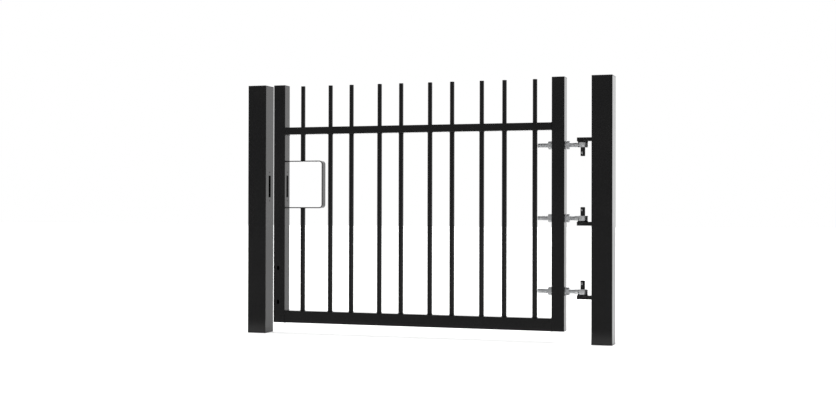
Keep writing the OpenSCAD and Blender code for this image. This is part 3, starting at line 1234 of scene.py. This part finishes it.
@dataclass
class Hinge:
    """One hinge: its lug, pin, plastic washer and eye bolt.

    The neck's points say how much thinner it gets and where, from the eye's face.
    """

    PLACES = ("low", "mid", "high")

    place: str
    lug_edge: float = 0.9 * MM
    lug_radius: float = 3 * MM
    lug_bead: float = 2 * MM
    lug_pitch: float = 1.3 * MM
    bore_gap: float = 0.05 * MM
    bore_sides: int = 48
    bush_edge: float = 0.5 * MM
    eye_bore: float = 9.08 * MM
    eye_edge: float = 2 * MM
    eye_sides: int = 80
    shank: float = 9 * MM
    neck: tuple[Point, ...] = ((0.0, 5 * MM), (0.0, -10 * MM), (0.4 * MM, -11 * MM),
                               (1.2 * MM, -12 * MM))
    thread_start: float = 9 * MM
    thread_rows: int = 330
    thread_sides: int = 25
    split_hole: float = 2.5 * MM
    split_offset: float = 12 * MM
    pin_edge: float = 0.5 * MM
    pin_tip: float = 1.5 * MM
    tip_round: Band = (0.5, 0.35)
    tip_lip: float = 0.4 * MM
    centre: Vector = field(init=False)
    radius: float = field(init=False)
    flip: int = field(init=False)

    def __post_init__(self) -> None:
        """Finds the hinge's centre, its pin's radius, and which way up it is."""
        eye_low, eye_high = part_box("eye_bolt_" + self.place)
        low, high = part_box("hinge_pin_" + self.place)
        self.centre = Vector(((low.x + high.x) / 2, 0.0, (eye_low.z + eye_high.z) / 2))
        self.radius = (high.x - low.x) / 2
        self.flip = -1 if self.centre.z - low.z > high.z - self.centre.z else 1

    def build(self) -> None:
        """Builds the hinge's own pieces."""
        self.lug()
        self.pin()
        self.bush()
        self.eye_bolt()

    def lug(self) -> None:
        """The block welded to the post, drilled for the pin."""
        node = "hinge_lug_" + self.place
        low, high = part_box(node)
        centre, edge = (low + high) / 2, self.lug_edge
        width, length = high.y - low.y, high.x - low.x

        def ring(inset: float, at: float) -> list[Vector]:
            """The lug's plan, inset on its free sides.

            Args:
                inset: How far the free sides move inwards.
                at: Height of the ring.

            Returns:
                The ring's points.
            """
            corner = self.lug_radius - inset
            loop = rounded_loop(length - 2 * inset, width - 2 * inset, corner, steps=6)
            points = Axis.Z.ring(centre, loop, at)
            for point in points:
                if point.x > centre.x:
                    point.x = high.x
            return points

        places = [(edge, low.z, 0.6), (0.0, low.z + edge, 1.0),
                  (0.0, high.z - edge, 1.0), (edge, high.z, 0.6)]
        bore = circle_loop(self.radius + self.bore_gap, self.bore_sides)
        hole = plug(Axis.Z, self.centre, bore, low.z - MM, high.z + MM)
        drilled = Shell().join(Shell().stack(ring, places).mesh([hole]))
        runs = [((high.x, low.y + MM, z), (high.x, high.y - MM, z)) for z in (low.z, high.z)]
        runs += [((high.x, y, low.z), (high.x, y, high.z)) for y in (low.y, high.y)]
        for seed, (start, end) in enumerate(runs):
            drilled.join(BEAD_RUN.make(Slot.POST, Start=start, End=end, Bead=self.lug_bead,
                                       Pitch=self.lug_pitch, Seed=seed))
        add_piece(node + "_block", drilled.mesh(), Slot.POST, Body.POSTS, [node])

    def pin(self) -> None:
        """The turned pin with its split pin hole."""
        node = "hinge_pin_" + self.place
        low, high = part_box(node)
        radius, tip, edge, up = self.radius, self.pin_tip, self.pin_edge, self.flip
        foot, top = (low.z, high.z) if up > 0 else (high.z, low.z)
        inwards, down = self.tip_round
        profile = [
            (radius - edge, foot), (radius, foot + up * edge),
            (radius, top - up * (tip + self.tip_lip)), (radius, top - up * tip),
            (radius - inwards * tip, top - up * down * tip), (radius - tip, top),
        ]
        shell = lathe(Axis.Z, self.centre, profile, [0.3, 0.3, 0.0, 1.0, 1.0, 0.6])
        centre = Vector((self.centre.x, 0.0, self.split_height()))
        loop = circle_loop(self.split_hole, SMALL_SIDES)
        hole = plug(Axis.Y, centre, loop, low.y - MM, high.y + MM)
        add_piece(node + "_turned", shell.mesh([hole]), Slot.PIN, Body.POSTS, [node])

    def split_height(self) -> float:
        """Height of the middle of this hinge's split pin hole."""
        low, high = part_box("hinge_pin_" + self.place)
        return high.z - self.split_offset if self.flip > 0 else low.z + self.split_offset

    def bush(self) -> None:
        """The plastic washer that the eye turns on."""
        node = "hinge_bush_" + self.place
        low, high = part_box(node)
        bore, outside = self.radius + self.bore_gap, (high.x - low.x) / 2
        profile, wear = ring_profile(bore, outside, low.z, high.z, self.bush_edge)
        ring = lathe(Axis.Z, self.centre, profile, wear, looped=True)
        add_piece(node + "_ring", ring.mesh(), Slot.BUSH, Body.POSTS, [node])

    def eye_bolt(self) -> None:
        """The forged eye, its neck and its threaded shank."""
        node = "eye_bolt_" + self.place
        low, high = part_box(node)
        radius = (high.y - low.y) / 2
        profile, wear = ring_profile(self.eye_bore, radius, low.z, high.z, self.eye_edge)
        shell = lathe(Axis.Z, self.centre, profile, wear, looped=True, count=self.eye_sides)
        face = self.centre.x - radius
        neck = [(self.shank - drop, face + at) for drop, at in self.neck]
        shell.join(lathe(Axis.X, self.centre, neck, count=self.bore_sides).mesh())
        start = face - self.thread_start
        shell.join(THREAD.make(Slot.EYE, Origin=(start, 0.0, self.centre.z),
                               Length=start - low.x, Rows=self.thread_rows,
                               Sides=self.thread_sides))
        add_piece(node + "_threaded", shell.mesh(), Slot.EYE, Body.LEAF, [node])


@dataclass
class Fasteners:
    """The nuts, washers and split pins of all three hinges.

    The tail's bend is a point part of the way along it, as shares of its reach and its rise.
    """

    washer: float = 3 * MM
    washer_bore: float = 9.25 * MM
    washer_edge: float = 0.4 * MM
    thread: float = 9.05 * MM
    sink: float = 1 * MM
    facets: int = 12
    chamfer: float = math.radians(30.0)
    face_share: float = 0.95
    wire: float = 2.3 * MM
    wire_steps: int = 8
    split_eye: float = 2.4 * MM
    eye_steps: int = 24
    eye_opening: float = math.radians(35.0)
    eye_neck: float = 1.6 * MM
    leg_gap: float = 0.03 * MM
    pin_gap: float = 0.6 * MM
    tail: float = 9 * MM
    spread: float = math.radians(22.0)
    tail_bend: Band = (0.25, 0.18)

    def build(self, hinges: Sequence[Hinge]) -> None:
        """Builds each kind of fastener as one piece.

        Args:
            hinges: The three hinges.
        """
        for node in ("inner_nuts", "outer_nuts"):
            low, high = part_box(node)
            shell = Shell()
            for hinge in hinges:
                flat = (high.y - low.y) / 2
                shell.join(self.nut(hinge.centre.z, low.x, high.x, flat).mesh())
            add_piece(node + "_hex", shell.mesh(), Slot.NUT, Body.LEAF, [node])
        low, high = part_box("bolt_washers")
        shell = Shell()
        for hinge in hinges:
            centre = Vector((0.0, 0.0, hinge.centre.z))
            for start in (low.x, high.x - self.washer):
                profile, wear = ring_profile(self.washer_bore, (high.y - low.y) / 2, start,
                                             start + self.washer, self.washer_edge)
                shell.join(lathe(Axis.X, centre, profile, wear, looped=True).mesh())
        add_piece("bolt_washers_round", shell.mesh(), Slot.WASHER, Body.LEAF, ["bolt_washers"])
        shell = Shell()
        for hinge in hinges:
            shell.join(self.split_pin(hinge).mesh())
        add_piece("split_pins_bent", shell.mesh(), Slot.SPLIT, Body.POSTS, ["split_pins"])

    def nut(self, height: float, start: float, end: float, flat: float) -> Shell:
        """A hexagon nut along X with conical chamfers on both faces.

        Args:
            height: Height of the nut's axis.
            start: Its left face.
            end: Its right face.
            flat: Half its width across the flats.

        Returns:
            The closed shell.
        """
        slope, face = math.tan(self.chamfer), flat * self.face_share
        count = 6 * self.facets
        angles = [i * math.tau / count for i in range(count)]

        def point(at: float, radius: float, angle: float) -> Vector:
            """A point about the nut's axis."""
            return Vector((at, radius * math.cos(angle), height + radius * math.sin(angle)))

        def side(angle: float) -> float:
            """Radius of the hexagon in one direction, with flats to the front and the back."""
            within = (angle + math.pi / 6) % (math.pi / 3) - math.pi / 6
            return flat / math.cos(within)

        def round_ring(radius: float, at: float) -> list[Vector]:
            """A circle across the nut's axis."""
            return [point(at, radius, angle) for angle in angles]

        def hex_ring(at: float, inwards: int) -> list[Vector]:
            """The wavy line where a chamfer meets the flats."""
            sides = [(side(angle), angle) for angle in angles]
            return [point(at + inwards * (r - face) * slope, r, angle) for r, angle in sides]

        sink, bore = self.sink, self.thread
        rings = [round_ring(bore + sink, start), round_ring(face, start), hex_ring(start, 1),
                 hex_ring(end, -1), round_ring(face, end), round_ring(bore + sink, end),
                 round_ring(bore, end - sink), round_ring(bore, start + sink)]
        return Shell().loft(rings, [0.2, 0.5, 1.0, 1.0, 0.5, 0.2, 0.0, 0.0], looped=True)

    def split_pin(self, hinge: Hinge) -> Shell:
        """A half-round wire bent into an eye, two legs and two spread tails.

        Args:
            hinge: The hinge it belongs to.

        Returns:
            The closed shell.
        """
        low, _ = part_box("split_pins")
        pin_low, pin_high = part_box("hinge_pin_" + hinge.place)
        inner, gap, wire = self.split_eye, self.leg_gap, self.wire
        eye, bend = low.y + inner + wire, (pin_high.y - pin_low.y) / 2 + self.pin_gap
        reach, rise = self.tail * math.cos(self.spread), self.tail * math.sin(self.spread)
        along, across = self.tail_bend
        path: list[Point] = [
            (bend + reach, gap + rise), (bend + along * reach, gap + across * rise),
            (bend, gap), (eye + inner + self.eye_neck, gap),
        ]
        legs = [(y, -z) for y, z in reversed(path)]
        first, turn = self.eye_opening, math.tau - 2 * self.eye_opening
        for step in range(self.eye_steps + 1):
            angle = first + turn * step / self.eye_steps
            path.append((eye + inner * math.cos(angle), inner * math.sin(angle)))
        path += legs
        rings = []
        for number, (y, z) in enumerate(path):
            before, after = path[max(number - 1, 0)], path[min(number + 1, len(path) - 1)]
            ahead = Vector((0.0, after[0] - before[0], after[1] - before[1])).normalized()
            out = Vector((0.0, ahead.z, -ahead.y))
            middle = Vector((hinge.centre.x, y, hinge.split_height() + z))
            ring = []
            for step in range(self.wire_steps + 1):
                angle = math.pi * step / self.wire_steps
                flat = Vector((wire * math.cos(angle), 0.0, 0.0))
                ring.append(middle + flat + out * (wire * math.sin(angle)))
            rings.append(ring)
        return Shell().loft(rings)


@dataclass
class Studio:
    """Pale floor, soft white surroundings and the camera."""

    floor_size: float = 60.0
    floor_colour: Colour = (0.93, 0.93, 0.93)
    floor_shade: Colour = (0.22, 0.22, 0.22)
    floor_glow: float = 0.14
    floor_rough: float = 0.9
    floor_shine: float = 0.1
    shade_along: Band = (-0.55, -0.15)
    shade_end: float = 0.2
    bright_reflection: float = 0.4
    bright_reflection_across: Band = (0.0, 0.5)
    bright_reflection_along: Band = (-2.5, -1.2)
    bright_reflection_slope: float = 0.18
    behind: float = 1.5
    front: float = 0.3
    depth_band: Band = (-0.25, 0.3)
    above: float = 2.4
    height_band: Band = (0.35, 0.85)
    flag: float = 0.18
    white: Colour = (1.0, 1.0, 1.0)
    eye: Vector = field(default_factory=lambda: Vector((1.5412, -4.744, 0.5164)))
    yaw: float = math.radians(18.296)
    pitch: float = math.radians(0.393)
    roll: float = math.radians(0.127)
    lens: float = 53.75
    far: float = 200.0

    def build(self) -> None:
        """Builds the floor, the world and the camera."""
        self.floor()
        self.world()
        self.camera()
        bpy.context.scene.view_settings.view_transform = "Standard"

    def floor(self) -> None:
        """A pale floor that shiny faces mirror darker in front of the gate, as painted reflection,
        apart from a paler painted patch nearer the camera.
        """
        half = self.floor_size / 2
        corners = [(-half, -half, 0.0), (half, -half, 0.0), (half, half, 0.0), (-half, half, 0.0)]
        mesh = bpy.data.meshes.new("floor")
        mesh.from_pydata(corners, [], [(0, 1, 2, 3)])
        paint = Paint("floor_paper")
        rays = paint.add("ShaderNodeLightPath").outputs
        parts = paint.parts(paint.place)
        # Painted reflection: shiny faces see this floor dark in front of the gate, apart from a
        # paler patch nearer the camera; the camera itself sees it pale.
        side = paint.math("MULTIPLY_ADD", parts["Y"], self.bright_reflection_slope, parts["X"])
        across = paint.span(side, *self.bright_reflection_across)
        along = paint.span(parts["Y"], *self.bright_reflection_along, self.bright_reflection, 0.0)
        shade = paint.span(parts["Y"], *self.shade_along, 1.0, self.shade_end)
        dark = paint.math("SUBTRACT", shade, paint.math("MULTIPLY", across, along))
        dim = paint.math("MULTIPLY", rays["Is Glossy Ray"], dark)
        tone = paint.mix(dim, solid(self.floor_colour), solid(self.floor_shade))
        paint.give("Base Color", tone)
        # Painted light: the floor also glows white for camera rays, which washes out the gate's
        # shadow on it.
        glow = paint.math("MULTIPLY", rays["Is Camera Ray"], self.floor_glow)
        paint.give("Emission Strength", glow)
        paint.give("Emission Color", solid(self.white))
        paint.give("Roughness", self.floor_rough)
        paint.give("Specular IOR Level", self.floor_shine)
        mesh.materials.append(paint.material)
        floor = bpy.data.objects.new("floor", mesh)
        bpy.context.scene.collection.objects.link(floor)

    def world(self) -> None:
        """White paper all round, brightest behind and above the gate."""
        world = bpy.data.worlds.new("studio")
        bpy.context.scene.world = world
        world.use_nodes = True
        wires = Wiring(world.node_tree)
        sockets = world.node_tree.nodes["Background"].inputs
        parts = wires.parts(wires.add("ShaderNodeTexCoord").outputs["Generated"])
        depth = wires.span(parts["Y"], *self.depth_band, self.front, self.behind, "SMOOTHSTEP")
        height = wires.span(parts["Z"], *self.height_band, curve="SMOOTHSTEP")
        soft = wires.math("MAXIMUM", depth, wires.math("MULTIPLY", height, self.above))
        flagged = wires.blend(height, depth, self.flag)
        path = wires.add("ShaderNodeLightPath").outputs
        light = wires.blend(path["Is Glossy Ray"], soft, flagged)
        strength = wires.blend(path["Is Camera Ray"], light, 1.0)
        wires.feed(sockets["Strength"], strength)
        wires.feed(sockets["Color"], solid(self.white))

    def camera(self) -> None:
        """Sets the camera off to the right of the gate, a little above its waist."""
        ahead = Vector((-math.sin(self.yaw), math.cos(self.yaw), 0.0))
        right = Vector((math.cos(self.yaw), math.sin(self.yaw), 0.0))
        up = Vector((0.0, 0.0, 1.0))
        look = ahead * math.cos(self.pitch) + up * math.sin(self.pitch)
        rise = up * math.cos(self.pitch) - ahead * math.sin(self.pitch)
        side = right * math.cos(self.roll) + rise * math.sin(self.roll)
        top = rise * math.cos(self.roll) - right * math.sin(self.roll)
        turn = Matrix((side, top, -look)).transposed().to_4x4()
        data = bpy.data.cameras.new("camera")
        data.lens = self.lens
        data.clip_end = self.far
        camera = bpy.data.objects.new("camera", data)
        camera.matrix_world = Matrix.Translation(self.eye) @ turn
        bpy.context.scene.collection.objects.link(camera)
        bpy.context.scene.camera = camera


def main() -> None:
    """Builds the gate piece by piece, then its surroundings."""
    logging.basicConfig(level=logging.INFO, format="%(message)s")
    Posts().build()
    LeafFrame().build()
    LockFrame().build()
    Uprights().build()
    hinges = [Hinge(place) for place in Hinge.PLACES]
    for hinge in hinges:
        hinge.build()
    Fasteners().build(hinges)
    Studio().build()


if __name__ == "__main__":
    main()
